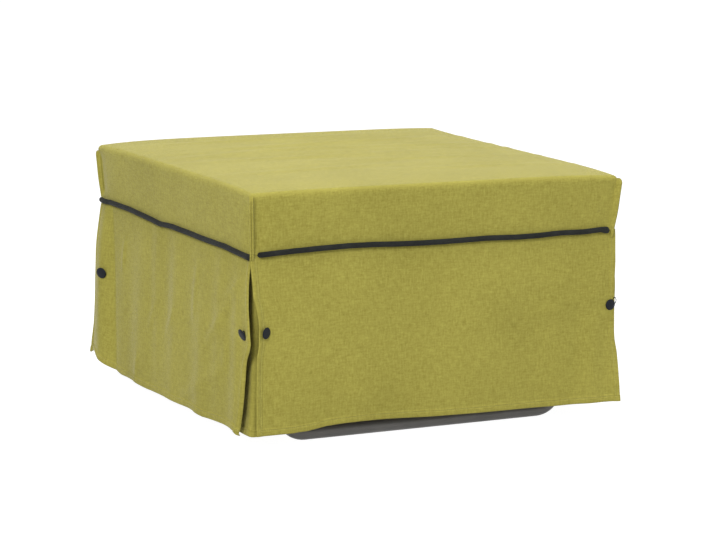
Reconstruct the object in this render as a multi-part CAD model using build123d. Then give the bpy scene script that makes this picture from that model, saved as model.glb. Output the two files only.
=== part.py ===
"""Folding guest bed that stores as a slipcovered ottoman.

Millimetres. X runs along the front, Y from front to back, Z up from the floor.
The bed is drawn folded: the base, the middle section upside down on it, and the
end section on top, under a lift-off slipcover.
"""
from build123d import *
import math
import os

os.makedirs("parts", exist_ok=True)

# Slipcover: cloth, and its room round the folded bed
cloth = 3
cover_side_room = 34
cover_end_room = 9
top_panel_drop = 22
top_edge_radius = 16
top_corner_radius = 6
pad_thickness = 19.4
hem_height = 28
piping_drop = 112

# Piping and the seams at the corners
piping_diameter = 11
piping_tape = 1.4
piping_stand_off = 3.5
corner_gap = 4
seam_fin_reach = 7
seam_fin_overlap = 9

# Skirt panels: folds, flare, and the flaps that open towards the hem
skirt_flare = 3
skirt_waist = 1.5
flap_opening = 22
flap_half_opening = 14
flap_set_back = 7
flap_top_set_back = 5
flap_top_level = 270
flap_half_level = 120
fold_depth_share = 0.032
plain_end = 62
front_fold_shares = (0.14, 0.27, 0.4, 0.54, 0.68, 0.82, 1.0)
side_fold_shares = (0.16, 0.34, 0.46, 0.63, 0.76, 0.9, 1.0)

# Inner pleat panels behind the flaps
pleat_arm = 50
pleat_inset = 8
pleat_lift = 3

# Buttons
button_diameter = 21
button_height = 7
button_shares = ((1.0, 0.0), (1.0, 0.33), (0.8, 0.72), (0.36, 1.0))
button_sides = 12
button_inset = 35
button_edge_inset = 18
button_level = 212

# Bed frame and legs
frame_half_width = 345
rail = 25
rail_edge = 3
frame_corner_radius = 15
base_frame_level = 115
leg_tube = 25
leg_side_inset = 55
leg_bend_radius = 45
tube_sides = 10
fold_leg_tube = 22
fold_leg_bend_radius = 40
fold_leg_side_gap = 5
leg_pivot_set_back = 43
leg_eye_radius = 12
leg_eye_width = 24
leg_bolt_radius = 4
leg_bolt_head_radius = 7
leg_bolt_head = 3
hexagon_sides = 6

# Slats, their end caps, and the mattress
slat_count = 7
slat_width = 52
slat_thickness = 6
cap_wall = 1.6
cap_length = 34
cap_end_wall = 3
cap_inset = 3
mattress_thickness = 72
mattress_side_room = 7
mattress_edge = 10
mattress_crown_edge = 18
mattress_corner_radius = 30

# Hinge lines, as distances from the middle of the ottoman, and the sections' ends beside them
front_hinge_reach = 325
back_hinge_reach = 315
front_hinge_gap = 5
back_hinge_gap = 10
end_section_overhang = 20
end_section_heel = 8
base_overhang = 7
base_mattress_gap = 12
mattress_pair_gap = 5
frame_pair_gap = 6

# Hinge plates and pins
plate = 4
plate_gap = 1
plate_boss_radius = 9
pad_length = 30
pad_start = 20
end_pad_height = 14
hinge_pin_radius = 4
hinge_head_radius = 7
hinge_head = 2.5

# Fits
mattress_end_gap = 2
seat = 0.3
pin_play = 0.05
overrun = 10

# Ends of the sections that follow from the hinge lines
base_front = front_hinge_reach - front_hinge_gap
middle_front = base_front
middle_back = back_hinge_reach - back_hinge_gap
end_front = front_hinge_reach + end_section_overhang
end_back = back_hinge_reach + end_section_heel
base_back = end_back + base_overhang
base_mattress_back = base_back - base_mattress_gap
mattress_half_width = frame_half_width - mattress_side_room
leg_half_width = frame_half_width - leg_side_inset

# Levels that follow from the stack
cap_height = slat_thickness + 2 * (cap_wall + pin_play)
slat_layer = cap_height + 2 * seat
base_slat_level = base_frame_level + rail
base_mattress_level = base_slat_level + slat_layer
base_mattress_top = base_mattress_level + mattress_thickness
front_hinge_level = base_mattress_top + mattress_pair_gap / 2
middle_mattress_level = front_hinge_level + mattress_pair_gap / 2
middle_slat_level = middle_mattress_level + mattress_thickness
middle_frame_level = middle_slat_level + slat_layer
middle_frame_top = middle_frame_level + rail
back_hinge_level = middle_frame_top + frame_pair_gap / 2
end_frame_level = middle_frame_top + frame_pair_gap
end_slat_level = end_frame_level + rail
end_mattress_level = end_slat_level + slat_layer
end_mattress_top = end_mattress_level + mattress_thickness
pad_level = end_mattress_top + seat
cover_height = pad_level + pad_thickness + seat + cloth
piping_level = cover_height - piping_drop
half_width = frame_half_width + cover_side_room + cloth
half_depth = max(end_front, base_back) + cover_end_room + cloth
cover_width = 2 * half_width
cover_depth = 2 * half_depth
band_low = piping_level + piping_tape / 2 + seat
band_high = cover_height - top_panel_drop - seat
skirt_high = piping_level - piping_tape / 2 - seat
front_hinge_y = -front_hinge_reach
back_hinge_y = back_hinge_reach


def save(name, *solids):
    shape = solids[0] if len(solids) == 1 else Compound(children=list(solids))
    export_step(shape, f"parts/{name}.step")


def block(x0, x1, y0, y1, z0, z1):
    centre = Pos((x0 + x1) / 2, (y0 + y1) / 2, (z0 + z1) / 2)
    return centre * Box(x1 - x0, y1 - y0, z1 - z0)


def rounded_slab(width, depth, corner, z0, z1, y=0):
    outline = Pos(0, y, z0) * RectangleRounded(width, depth, corner)
    return extrude(outline, z1 - z0)


def mirrored(solid, plane):
    return mirror(solid, about=plane)


# Slipcover

def top_panel():
    outer = rounded_slab(cover_width, cover_depth, top_corner_radius,
                         cover_height - top_panel_drop, cover_height)
    outer = fillet(outer.faces().sort_by(Axis.Z)[-1].edges(), top_edge_radius)
    inner = block(cloth - half_width, half_width - cloth, cloth - half_depth, half_depth - cloth,
                  cover_height - top_panel_drop - overrun, cover_height - cloth)
    inner = chamfer(inner.faces().sort_by(Axis.Z)[-1].edges(), top_edge_radius - cloth)
    return outer - inner


def top_pad():
    x = half_width - cloth - seat
    y = half_depth - cloth - seat
    pad = block(-x, x, -y, y, pad_level, pad_level + pad_thickness)
    return chamfer(pad.faces().sort_by(Axis.Z)[-1].edges(), top_edge_radius - cloth)


def front_band():
    reach = half_width - corner_gap
    return block(-reach, reach, -half_depth, cloth - half_depth, band_low, band_high)


def side_band():
    reach = half_depth - corner_gap
    return block(-half_width, cloth - half_width, -reach, reach, band_low, band_high)


def piping(length, face):
    """One run along X whose flat back lies on the plane y = -face."""
    cord = Rot(0, 90, 0) * Cylinder(piping_diameter / 2, length)
    cord = Pos(0, -face - piping_stand_off, piping_level) * cord
    bed = block(-length, length, -face, overrun - face, piping_level - piping_diameter,
                piping_level + piping_diameter)
    tape = block(-length / 2, length / 2, -face, cloth - face, piping_level - piping_tape / 2,
                 piping_level + piping_tape / 2)
    return (cord - bed) + tape


def corner_seam():
    """Pinched seam of the front left corner, on the diagonal."""
    half = corner_gap / math.sqrt(2) - seat
    root = (corner_gap - seat) * math.sqrt(2) - half
    low = piping_level - seam_fin_overlap
    fin = block(-seam_fin_reach, root, -half, half, low, band_high)
    tip = fin.edges().filter_by(Axis.Z).sort_by(Axis.X)[:2]
    fin = fillet(tip, half - seat)
    return Pos(-half_width, -half_depth, 0) * Rot(0, 0, 45) * fin


def skirt_outline(shares, reach, face, bulge_share, z):
    """Closed outline of a hanging panel at one height, as arcs between the fold lines."""
    inner_reach = reach - plain_end
    nodes = [-reach] + [inner_reach * (2 * s - 1) for s in (0.0,) + shares] + [reach]
    edges = []
    for offset, order in ((0, 1), (cloth, -1)):
        y = offset - face
        run = []
        for i, (a, b) in enumerate(zip(nodes, nodes[1:])):
            plain = i in (0, len(nodes) - 2)
            push = 0 if plain or bulge_share == 0 else bulge_share * (b - a) * (-1) ** i
            ends = [(a, y, z), (b, y, z)][::order]
            middle = ((a + b) / 2, y - push, z)
            run.append(Line(*ends) if push == 0 else ThreePointArc(ends[0], middle, ends[1]))
        edges += run[::order]
        corner = (order * reach, y, z)
        edges.append(Line(corner, (order * reach, (cloth - face) if order == 1 else -face, z)))
    return Face(Wire(edges))


def skirt(shares, half_length, face):
    """Hanging panel along X with its outside near the plane y = -face."""
    levels = (
        (skirt_high, corner_gap, 0, 0),
        (flap_top_level, flap_top_set_back, -skirt_waist, fold_depth_share / 8),
        (button_level, flap_set_back, -skirt_waist, fold_depth_share / 4),
        (flap_half_level, flap_half_opening, 0, fold_depth_share / 2),
        (hem_height, flap_opening, skirt_flare, fold_depth_share),
    )
    sections = [
        skirt_outline(shares, half_length - set_back, face + out, bulge, z)
        for z, set_back, out, bulge in levels
    ]
    return loft(sections, ruled=True)


def pleat_panel():
    """Inner pleat of the front left corner: an L that leans in from the seam to the hem."""
    top = skirt_high - seat
    low = hem_height + pleat_lift

    def section(inset, z):
        x = inset - half_width
        y = inset - half_depth
        far_x = x + pleat_arm
        far_y = y + pleat_arm
        points = [(x, y), (far_x, y), (far_x, y + cloth), (x + cloth, y + cloth), (x + cloth, far_y), (x, far_y)]
        return Face(Wire(Polyline([(px, py, z) for px, py in points], close=True).edges()))

    return loft([section(pleat_inset, low), section(cloth + seat, top)], ruled=True)


def button():
    """Domed button, standing on z = 0 and pointing up."""
    sections = [
        Pos(0, 0, level_share * button_height) * RegularPolygon(radius_share * button_diameter / 2, button_sides)
        for radius_share, level_share in button_shares
    ]
    return loft(sections, ruled=True)


def buttons():
    """Two at each corner, on the flaps. The right one in front is nearer to its flap's edge."""
    front_face = half_depth - skirt_waist + seat
    side_face = half_width - skirt_waist + seat
    placed = []
    for sx in (-1, 1):
        for sy in (-1, 1):
            in_front_right = sx > 0 and sy < 0
            x = sx * (half_width - (button_edge_inset if in_front_right else button_inset))
            y = sy * (half_depth - button_inset)
            turn_y = Rot(90, 0, 0) if sy < 0 else Rot(-90, 0, 0)
            turn_x = Rot(0, -90, 0) if sx < 0 else Rot(0, 90, 0)
            placed.append(Pos(x, sy * front_face, button_level) * turn_y * button())
            placed.append(Pos(sx * side_face, y, button_level) * turn_x * button())
    return placed


def save_cover():
    save("cover_top_panel", top_panel())
    save("cover_top_pad", top_pad())
    quarter = Rot(0, 0, -90)
    band = front_band()
    save("cover_band_front", band)
    save("cover_band_back", mirrored(band, Plane.XZ))
    band = side_band()
    save("cover_band_left", band)
    save("cover_band_right", mirrored(band, Plane.YZ))
    run = piping(cover_width - 2 * corner_gap, half_depth)
    save("cover_piping_front", run)
    save("cover_piping_back", mirrored(run, Plane.XZ))
    run = quarter * piping(cover_depth - 2 * corner_gap, half_width)
    save("cover_piping_left", run)
    save("cover_piping_right", mirrored(run, Plane.YZ))
    panel = skirt(front_fold_shares, half_width, half_depth)
    save("cover_skirt_front", panel)
    save("cover_skirt_back", mirrored(panel, Plane.XZ))
    panel = quarter * skirt(side_fold_shares, half_depth, half_width)
    save("cover_skirt_left", panel)
    save("cover_skirt_right", mirrored(panel, Plane.YZ))
    seam = corner_seam()
    pleat = pleat_panel()
    for label, solid in (("seam", seam), ("pleat", pleat)):
        right = mirrored(solid, Plane.YZ)
        save(f"cover_{label}_front_left", solid)
        save(f"cover_{label}_front_right", right)
        save(f"cover_{label}_back_left", mirrored(solid, Plane.XZ))
        save(f"cover_{label}_back_right", mirrored(right, Plane.XZ))
    save("cover_buttons", *buttons())


# Bed sections

def frame(front, back, level):
    """Welded ring of square tube with eased edges."""
    depth = front + back
    middle = (back - front) / 2
    width = 2 * frame_half_width
    ring = rounded_slab(width, depth, frame_corner_radius, level, level + rail, middle)
    hole = block(rail - width / 2, width / 2 - rail, rail - front, back - rail,
                 level - overrun, level + rail + overrun)
    outer_edges = ring.edges().filter_by(Plane.XY)
    return chamfer(outer_edges, rail_edge) - hole


def slat_places(front, back):
    first = rail - front + slat_width / 2
    last = back - rail - slat_width / 2
    step = (last - first) / (slat_count - 1)
    return [first + i * step for i in range(slat_count)]


def slats(front, back, level):
    half = frame_half_width - cap_inset - cap_end_wall - pin_play
    low = level + seat + cap_wall + pin_play
    return [
        block(-half, half, y - slat_width / 2, y + slat_width / 2, low, low + slat_thickness)
        for y in slat_places(front, back)
    ]


def slat_caps(front, back, level):
    """A sleeve on each end of each slat, seated on the side rail."""
    outer_end = frame_half_width - cap_inset
    inner_end = outer_end - cap_length
    wide = slat_width / 2 + cap_wall + pin_play
    pocket_wide = slat_width / 2 + pin_play
    low = level + seat
    caps = []
    for y in slat_places(front, back):
        sleeve = block(inner_end, outer_end, y - wide, y + wide, low, low + cap_height)
        pocket = block(inner_end - overrun, outer_end - cap_end_wall, y - pocket_wide, y + pocket_wide,
                       low + cap_wall, low + cap_height - cap_wall)
        cap = sleeve - pocket
        caps += [cap, mirrored(cap, Plane.YZ)]
    return caps


def mattress(front, back, level):
    """Foam block in ticking, with rounded corners and edges."""
    low = level + seat
    high = level + mattress_thickness - seat
    foam = rounded_slab(2 * mattress_half_width, front + back, mattress_corner_radius,
                        low, high, (back - front) / 2)
    flat_faces = foam.faces().filter_by(Axis.Z)
    return chamfer(flat_faces.edges(), mattress_edge, mattress_crown_edge)


def tube_u(half, drop, bend, diameter):
    """U of round tube in the XZ plane: arms up to z = drop, runner centred on z = 0."""
    path = FilletPolyline((-half, 0, drop), (-half, 0, 0), (half, 0, 0), (half, 0, drop), radius=bend)
    outline = RegularPolygon(diameter / 2, tube_sides, major_radius=False, rotation=180 / tube_sides)
    section = Plane(origin=path @ 0, x_dir=(1, 0, 0), z_dir=path % 0) * outline
    return sweep(section, path)


def fixed_leg(y):
    """Sledge leg, with a flat of its tube on the floor."""
    centre = leg_tube / 2
    return Pos(0, y, centre) * tube_u(leg_half_width, base_frame_level - centre, leg_bend_radius, leg_tube)


def folding_leg(pivot_y, pivot_z, towards):
    """U leg lying in its frame, from the pivot along Y by the sign towards."""
    half = frame_half_width - rail - fold_leg_side_gap - leg_eye_width / 2
    length = base_frame_level + rail / 2 - fold_leg_tube / 2
    tube = tube_u(half, length - leg_eye_radius / 2, fold_leg_bend_radius, fold_leg_tube)
    tube = Pos(0, 0, -length) * tube
    for sx in (-1, 1):
        eye = Pos(sx * half, 0, 0) * Rot(0, 90, 0) * Cylinder(leg_eye_radius, leg_eye_width)
        tube += eye
    for sx in (-1, 1):
        hole = Rot(0, 90, 0) * Cylinder(leg_bolt_radius + pin_play, leg_eye_width + overrun)
        tube -= Pos(sx * half, 0, 0) * hole
    turn = Rot(90, 0, 0) if towards > 0 else Rot(-90, 0, 0)
    return Pos(0, pivot_y, pivot_z) * turn * tube


def leg_bolts(pivot_y, pivot_z):
    """Shouldered bolts from the side rails through the leg's eyes."""
    rail_face = frame_half_width - rail
    eye_end = rail_face - fold_leg_side_gap - leg_eye_width
    shank_end = eye_end - seat
    turn = Rot(0, 90, 0)
    solids = []
    hexagon = RegularPolygon(leg_bolt_head_radius, hexagon_sides)
    bolt = Pos((rail_face + shank_end) / 2, 0, 0) * turn * Cylinder(leg_bolt_radius, rail_face - shank_end)
    bolt += Pos(rail_face - fold_leg_side_gap + seat, 0, 0) * turn * extrude(hexagon, fold_leg_side_gap - seat)
    bolt += Pos(shank_end - leg_bolt_head, 0, 0) * turn * extrude(hexagon, leg_bolt_head)
    bolt = Pos(0, pivot_y, pivot_z) * bolt
    return [bolt, mirrored(bolt, Plane.YZ)]


def hinge_plate(pad_y, pad_low, pad_high, hinge_y, hinge_z, outer):
    """Plate from its weld pad on a side rail to the hinge pin, on the right side."""
    inner_x = frame_half_width + plate_gap + (plate + plate_gap if outer else 0)
    pad_height = pad_high - pad_low
    boss = Pos(hinge_y, hinge_z) * Circle(plate_boss_radius)
    foot = Pos(pad_y, (pad_low + pad_high) / 2) * Rectangle(pad_length, pad_height)
    outline = make_hull(boss.edges() + foot.edges())
    upright = Plane(origin=(inner_x, 0, 0), x_dir=(0, 1, 0), z_dir=(1, 0, 0))
    solid = extrude(upright * outline, plate)
    hole = Pos(inner_x + plate / 2, hinge_y, hinge_z) * Rot(0, 90, 0) * Cylinder(
        hinge_pin_radius + pin_play, plate + overrun)
    weld = block(frame_half_width, inner_x, pad_y - pad_length / 2, pad_y + pad_length / 2, pad_low, pad_high)
    return solid - hole + weld


def hinge_plates(*sizes):
    solid = hinge_plate(*sizes)
    return [solid, mirrored(solid, Plane.YZ)]


def hinge_pins(y, z):
    """Pins welded in the inner plates, with a head outside the outer plates."""
    start = frame_half_width + plate_gap
    end = start + 2 * plate + plate_gap + seat
    turn = Rot(0, 90, 0)
    pin = Pos((start + end) / 2, y, z) * turn * Cylinder(hinge_pin_radius, end - start)
    pin += Pos(end, y, z) * turn * extrude(RegularPolygon(hinge_head_radius, hexagon_sides), hinge_head)
    return [pin, mirrored(pin, Plane.YZ)]


def save_section(name, front, back, frame_level, slat_level, mattress_level, mattress_front, mattress_back):
    save(f"{name}_frame", frame(front, back, frame_level))
    save(f"{name}_slats", *slats(front, back, slat_level))
    save(f"{name}_slat_caps", *slat_caps(front, back, slat_level))
    save(f"{name}_mattress", mattress(mattress_front, mattress_back, mattress_level))


def save_bed():
    save_section("base", base_front, base_back, base_frame_level, base_slat_level, base_mattress_level,
                 base_front - mattress_end_gap, base_mattress_back)
    save_section("middle", middle_front, middle_back, middle_frame_level, middle_slat_level,
                 middle_mattress_level, middle_front - mattress_end_gap, middle_back)
    save_section("end", end_front, end_back, end_frame_level, end_slat_level, end_mattress_level,
                 end_front - mattress_end_gap, end_back)
    save("base_leg_front", fixed_leg(leg_tube / 2 - base_front))
    save("base_leg_back", fixed_leg(base_back - leg_tube / 2))

    middle_pivot_y = middle_back - leg_pivot_set_back
    middle_pivot_z = middle_frame_level + rail / 2
    save("middle_leg", folding_leg(middle_pivot_y, middle_pivot_z, -1))
    save("middle_leg_bolts", *leg_bolts(middle_pivot_y, middle_pivot_z))
    end_pivot_y = leg_pivot_set_back - end_front
    end_pivot_z = end_frame_level + rail / 2
    save("end_leg", folding_leg(end_pivot_y, end_pivot_z, 1))
    save("end_leg_bolts", *leg_bolts(end_pivot_y, end_pivot_z))

    front_pad = pad_start + pad_length / 2
    save("front_hinge_base_plates", *hinge_plates(
        front_pad - base_front, base_frame_level, base_frame_level + rail,
        front_hinge_y, front_hinge_level, False))
    save("front_hinge_middle_plates", *hinge_plates(
        front_pad - middle_front, middle_frame_level, middle_frame_top,
        front_hinge_y, front_hinge_level, True))
    save("front_hinge_pins", *hinge_pins(front_hinge_y, front_hinge_level))
    save("back_hinge_middle_plates", *hinge_plates(
        middle_back - front_pad, middle_frame_level, middle_frame_top,
        back_hinge_y, back_hinge_level, False))
    end_frame_top = end_frame_level + rail
    save("back_hinge_end_plates", *hinge_plates(
        end_back - front_pad, end_frame_top - end_pad_height, end_frame_top,
        back_hinge_y, back_hinge_level, True))
    save("back_hinge_pins", *hinge_pins(back_hinge_y, back_hinge_level))


save_cover()
save_bed()
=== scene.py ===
import math
import bpy
import numpy as np
from mathutils import Matrix, Vector, noise


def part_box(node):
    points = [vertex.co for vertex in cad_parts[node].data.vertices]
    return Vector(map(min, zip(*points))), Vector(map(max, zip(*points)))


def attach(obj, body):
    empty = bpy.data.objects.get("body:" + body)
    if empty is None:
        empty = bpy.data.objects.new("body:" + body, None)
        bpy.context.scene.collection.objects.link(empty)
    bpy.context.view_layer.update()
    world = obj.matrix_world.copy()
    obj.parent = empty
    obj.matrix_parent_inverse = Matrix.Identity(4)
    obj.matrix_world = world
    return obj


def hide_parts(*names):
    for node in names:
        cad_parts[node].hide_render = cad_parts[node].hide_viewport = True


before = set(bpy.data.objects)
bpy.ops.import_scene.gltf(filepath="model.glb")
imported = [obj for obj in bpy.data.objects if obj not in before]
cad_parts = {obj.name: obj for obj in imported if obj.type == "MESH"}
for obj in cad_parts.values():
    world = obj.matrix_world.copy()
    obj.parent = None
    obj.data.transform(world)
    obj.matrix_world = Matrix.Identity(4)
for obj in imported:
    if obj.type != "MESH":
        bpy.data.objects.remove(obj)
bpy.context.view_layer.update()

# Welded bed frames and their hinge plates: square steel tube and plate, powder coated in a mid grey.
# The coat has a fine orange peel, and slightly darker and duller patches where hands and cloth rub.
coat_grey = (0.185, 0.179, 0.165)
coat_rubbed = (0.142, 0.137, 0.127)


def feed(tree, node, given):
    """Links a node's inputs to sockets or sets them to plain values. Returns the node's outputs."""
    for label, value in given.items():
        if isinstance(value, bpy.types.NodeSocket):
            tree.links.new(value, node.inputs[label])
        else:
            node.inputs[label].default_value = value
    return node.outputs


def add_node(tree, kind, given):
    """A shader node with its inputs fed. Returns its outputs."""
    return feed(tree, tree.nodes.new("ShaderNode" + kind), given)


def add_group(tree, group, given):
    """A node of a shader group with its inputs fed. Returns its outputs."""
    node = tree.nodes.new("ShaderNodeGroup")
    node.node_tree = group
    return feed(tree, node, given)


def new_group(name, inputs, outputs):
    """A shader node group, the sockets of its inputs and its output node. An input of None is a vector."""
    tree = bpy.data.node_groups.new(name, "ShaderNodeTree")
    for label, value in inputs.items():
        kind = "NodeSocketVector" if value is None else "NodeSocketFloat"
        socket = tree.interface.new_socket(name=label, in_out="INPUT", socket_type=kind)
        if value is not None:
            socket.default_value = value
    for label in outputs:
        tree.interface.new_socket(name=label, in_out="OUTPUT", socket_type="NodeSocketFloat")
    return tree, tree.nodes.new("NodeGroupInput").outputs, tree.nodes.new("NodeGroupOutput")


def maths(tree, operation, *values, clamp=False):
    """One Math node, fed by sockets or by plain numbers."""
    node = tree.nodes.new("ShaderNodeMath")
    node.operation = operation
    node.use_clamp = clamp
    return feed(tree, node, dict(enumerate(values)))[0]


def noise_value(tree, vector, scale, detail=3, roughness=0.55, stretch=(1, 1, 1)):
    """Noise on a vector, stretched along its axes."""
    stretched = add_node(tree, "Mapping", {"Vector": vector, "Scale": stretch})[0]
    return add_node(tree, "TexNoise", {"Vector": stretched, "Scale": scale, "Detail": detail,
                                       "Roughness": roughness})["Fac"]


def between(tree, value, low, high, low_to=0, high_to=1):
    """A value taken from one range to another and clamped."""
    return add_node(tree, "MapRange", {"Value": value, "From Min": low, "From Max": high,
                                       "To Min": low_to, "To Max": high_to})["Result"]


def two_colours(tree, factor, low, high):
    """A colour between two, by a value."""
    node = tree.nodes.new("ShaderNodeMix")
    node.data_type = "RGBA"
    low, high = (c if isinstance(c, bpy.types.NodeSocket) else (*c, 1) for c in (low, high))
    return feed(tree, node, {0: factor, 6: low, 7: high})[2]


def new_finish(name, roughness=0.5, metallic=0.0):
    """A material with a Principled shader, its tree and that shader."""
    material = bpy.data.materials.new(name)
    material.use_nodes = True
    tree = material.node_tree
    tree.nodes.clear()
    output = tree.nodes.new("ShaderNodeOutputMaterial")
    shader = tree.nodes.new("ShaderNodeBsdfPrincipled")
    surface = feed(tree, shader, {"Roughness": roughness, "Metallic": metallic})["BSDF"]
    feed(tree, output, {"Surface": surface})
    return material, tree, shader


def raise_surface(tree, shader, height, strength, distance):
    """Bumps the shader's surface by a height."""
    bump = add_node(tree, "Bump", {"Height": height, "Strength": strength, "Distance": distance})
    feed(tree, shader, {"Normal": bump["Normal"]})


def object_place(tree):
    return tree.nodes.new("ShaderNodeTexCoord").outputs["Object"]


def paint(finish, *names):
    """Gives a finish to CAD nodes or pieces by name."""
    for name in names:
        slots = bpy.data.objects[name].data.materials
        slots.clear()
        slots.append(finish)


coat_surface, given, result = new_group("coat_surface", {"Place": None, "Peel Scale": 900.0},
                                        ("Rubbed", "Dull", "Height"))
patch = noise_value(coat_surface, given["Place"], 9, 5, 0.65)
peel = add_node(coat_surface, "TexNoise", {"Vector": given["Place"], "Scale": given["Peel Scale"],
                                           "Detail": 1})
feed(coat_surface, result, {"Rubbed": between(coat_surface, patch, 0.42, 0.72),
                            "Dull": between(coat_surface, patch, 0.3, 0.7, 0.36, 0.54),
                            "Height": peel["Fac"]})


def coated_finish(name, clean, rubbed, peel_scale, strength, distance):
    """Paint or moulded plastic with a fine peel, darker and duller in patches."""
    finish, tree, shader = new_finish(name)
    coat = add_group(tree, coat_surface, {"Place": object_place(tree), "Peel Scale": peel_scale})
    feed(tree, shader, {"Base Color": two_colours(tree, coat["Rubbed"], clean, rubbed),
                        "Roughness": coat["Dull"]})
    raise_surface(tree, shader, coat["Height"], strength, distance)
    return finish


powder_coat = coated_finish("powder_coat", coat_grey, coat_rubbed, 900, 0.25, 0.0004)
paint(powder_coat, "base_frame", "middle_frame", "end_frame", "front_hinge_base_plates",
      "front_hinge_middle_plates", "back_hinge_middle_plates", "back_hinge_end_plates")

# Hinge pins and the shouldered bolts of the folding legs: turned steel, zinc plated.
# The plating has a faint blue-grey bloom and fine turning marks.
zinc_bright = (0.56, 0.57, 0.58)
zinc_bloom = (0.42, 0.44, 0.47)
zinc, tree, shader = new_finish("zinc_plate", metallic=1.0)
place = object_place(tree)
bloom = noise_value(tree, place, 160, 3, 0.6)
marks = noise_value(tree, place, 60, 2, 0.5, (40, 1, 1))
feed(tree, shader, {"Base Color": two_colours(tree, between(tree, bloom, 0.35, 0.7), zinc_bright, zinc_bloom),
                    "Roughness": between(tree, bloom, 0.3, 0.7, 0.26, 0.42)})
raise_surface(tree, shader, marks, 0.2, 0.0002)
paint(zinc, "front_hinge_pins", "back_hinge_pins", "middle_leg_bolts", "end_leg_bolts")

# Sledge legs fixed under the base: a U bent from round steel tube, coated like the frames.
# Each is welded under the base frame's end rail, and its lower run stands on the floor.
leg_tube_radius = 0.0125
leg_bend = 0.045
tube_sides = 24
bend_steps = 12


def select_only(*pieces):
    """Leaves edit mode and selects these pieces alone, with the first one active."""
    if bpy.context.object and bpy.context.object.mode == "EDIT":
        bpy.ops.object.mode_set(mode="OBJECT")
    bpy.ops.object.select_all(action="DESELECT")
    for piece in pieces:
        piece.select_set(True)
    if pieces:
        bpy.context.view_layer.objects.active = pieces[0]


def just_added(name):
    """Names the mesh that was just added."""
    piece = bpy.context.object
    piece.name = name
    return piece


def edit(obj, kind="VERT", chosen=None):
    """Opens a mesh for editing with all of it selected, or only the vertices or faces that are chosen."""
    select_only(obj)
    bpy.ops.object.mode_set(mode="EDIT")
    bpy.ops.mesh.select_mode(type=kind)
    bpy.ops.mesh.select_all(action="DESELECT" if chosen else "SELECT")
    if chosen:
        bpy.ops.object.mode_set(mode="OBJECT")
        for part in obj.data.vertices if kind == "VERT" else obj.data.polygons:
            part.select = chosen(part)
        bpy.ops.object.mode_set(mode="EDIT")


def place_in_mesh(obj):
    """Moves a piece's place and turn into its mesh."""
    select_only(obj)
    bpy.ops.object.transform_apply(location=True, rotation=True, scale=True)


def close_up(obj, gap=0.0001):
    """Merges doubles and turns the faces outwards."""
    edit(obj)
    bpy.ops.mesh.remove_doubles(threshold=gap)
    bpy.ops.mesh.normals_make_consistent(inside=False)
    bpy.ops.object.mode_set(mode="OBJECT")


def smooth(obj, degrees):
    select_only(obj)
    bpy.ops.object.shade_smooth_by_angle(angle=math.radians(degrees))


def bent_leg(name, half_width, arm_top, y, radius, bend):
    """Right half of the U: from the middle of its runner, round the bend and up the arm. Then mirrored."""
    straight = half_width - bend
    bend_top = radius + bend
    rise = arm_top - bend_top
    select_only()
    bpy.ops.mesh.primitive_circle_add(vertices=tube_sides, radius=radius, rotation=(0, math.pi / 2, 0),
                                      location=(0, y, radius))
    leg = just_added(name)
    edit(leg)
    for share in (0.5, 0.5):
        bpy.ops.mesh.extrude_region_move(TRANSFORM_OT_translate={"value": (straight * share, 0, 0)})
    bpy.ops.mesh.spin(steps=bend_steps, angle=math.pi / 2, center=(straight, y, bend_top), axis=(0, 1, 0))
    bpy.ops.object.mode_set(mode="OBJECT")
    place_in_mesh(leg)
    edit(leg, "VERT", lambda corner: abs(corner.co.z - bend_top) < 0.0001)
    for share in (0.5, 0.5):
        bpy.ops.mesh.extrude_region_move(TRANSFORM_OT_translate={"value": (0, 0, rise * share)})
    bpy.ops.mesh.edge_face_add()
    bpy.ops.object.mode_set(mode="OBJECT")
    mirror = leg.modifiers.new("other half", "MIRROR")
    mirror.use_axis = (True, False, False)
    mirror.merge_threshold = 0.0001
    bpy.ops.object.modifier_apply(modifier=mirror.name)
    close_up(leg)
    smooth(leg, 40)
    return leg


for side in ("front", "back"):
    low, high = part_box(f"base_leg_{side}")
    leg = bent_leg(f"sledge_leg_{side}", high.x - leg_tube_radius, high.z, (low.y + high.y) / 2,
                   leg_tube_radius, leg_bend)
    paint(powder_coat, leg.name)
    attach(leg, "base")
    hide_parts(f"base_leg_{side}")

# Legs of the middle and end sections: the same U in a thinner tube, with an eye at the top of each arm.
# They fold up flat into their frames and turn on shouldered bolts.
fold_radius = 0.011
fold_bend = 0.040
eye_radius = 0.012
eye_bore = 0.0042
eye_rim = 0.0008
eye_width = 0.024
arm_short_of_pivot = 0.0072


def eye(x, y, z):
    """A short thick-walled tube across the frame, for the bolt."""
    select_only()
    bpy.ops.mesh.primitive_cylinder_add(vertices=32, radius=eye_radius, depth=eye_width, location=(x, y, z),
                                        rotation=(0, math.pi / 2, 0), end_fill_type="NGON")
    ring = bpy.context.object
    place_in_mesh(ring)
    edit(ring, "FACE", lambda face: len(face.vertices) > 4)
    bpy.ops.mesh.inset(thickness=eye_rim)
    bpy.ops.mesh.inset(thickness=eye_radius - eye_bore - eye_rim)
    bpy.ops.mesh.bridge_edge_loops()
    bpy.ops.object.mode_set(mode="OBJECT")
    return ring


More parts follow.
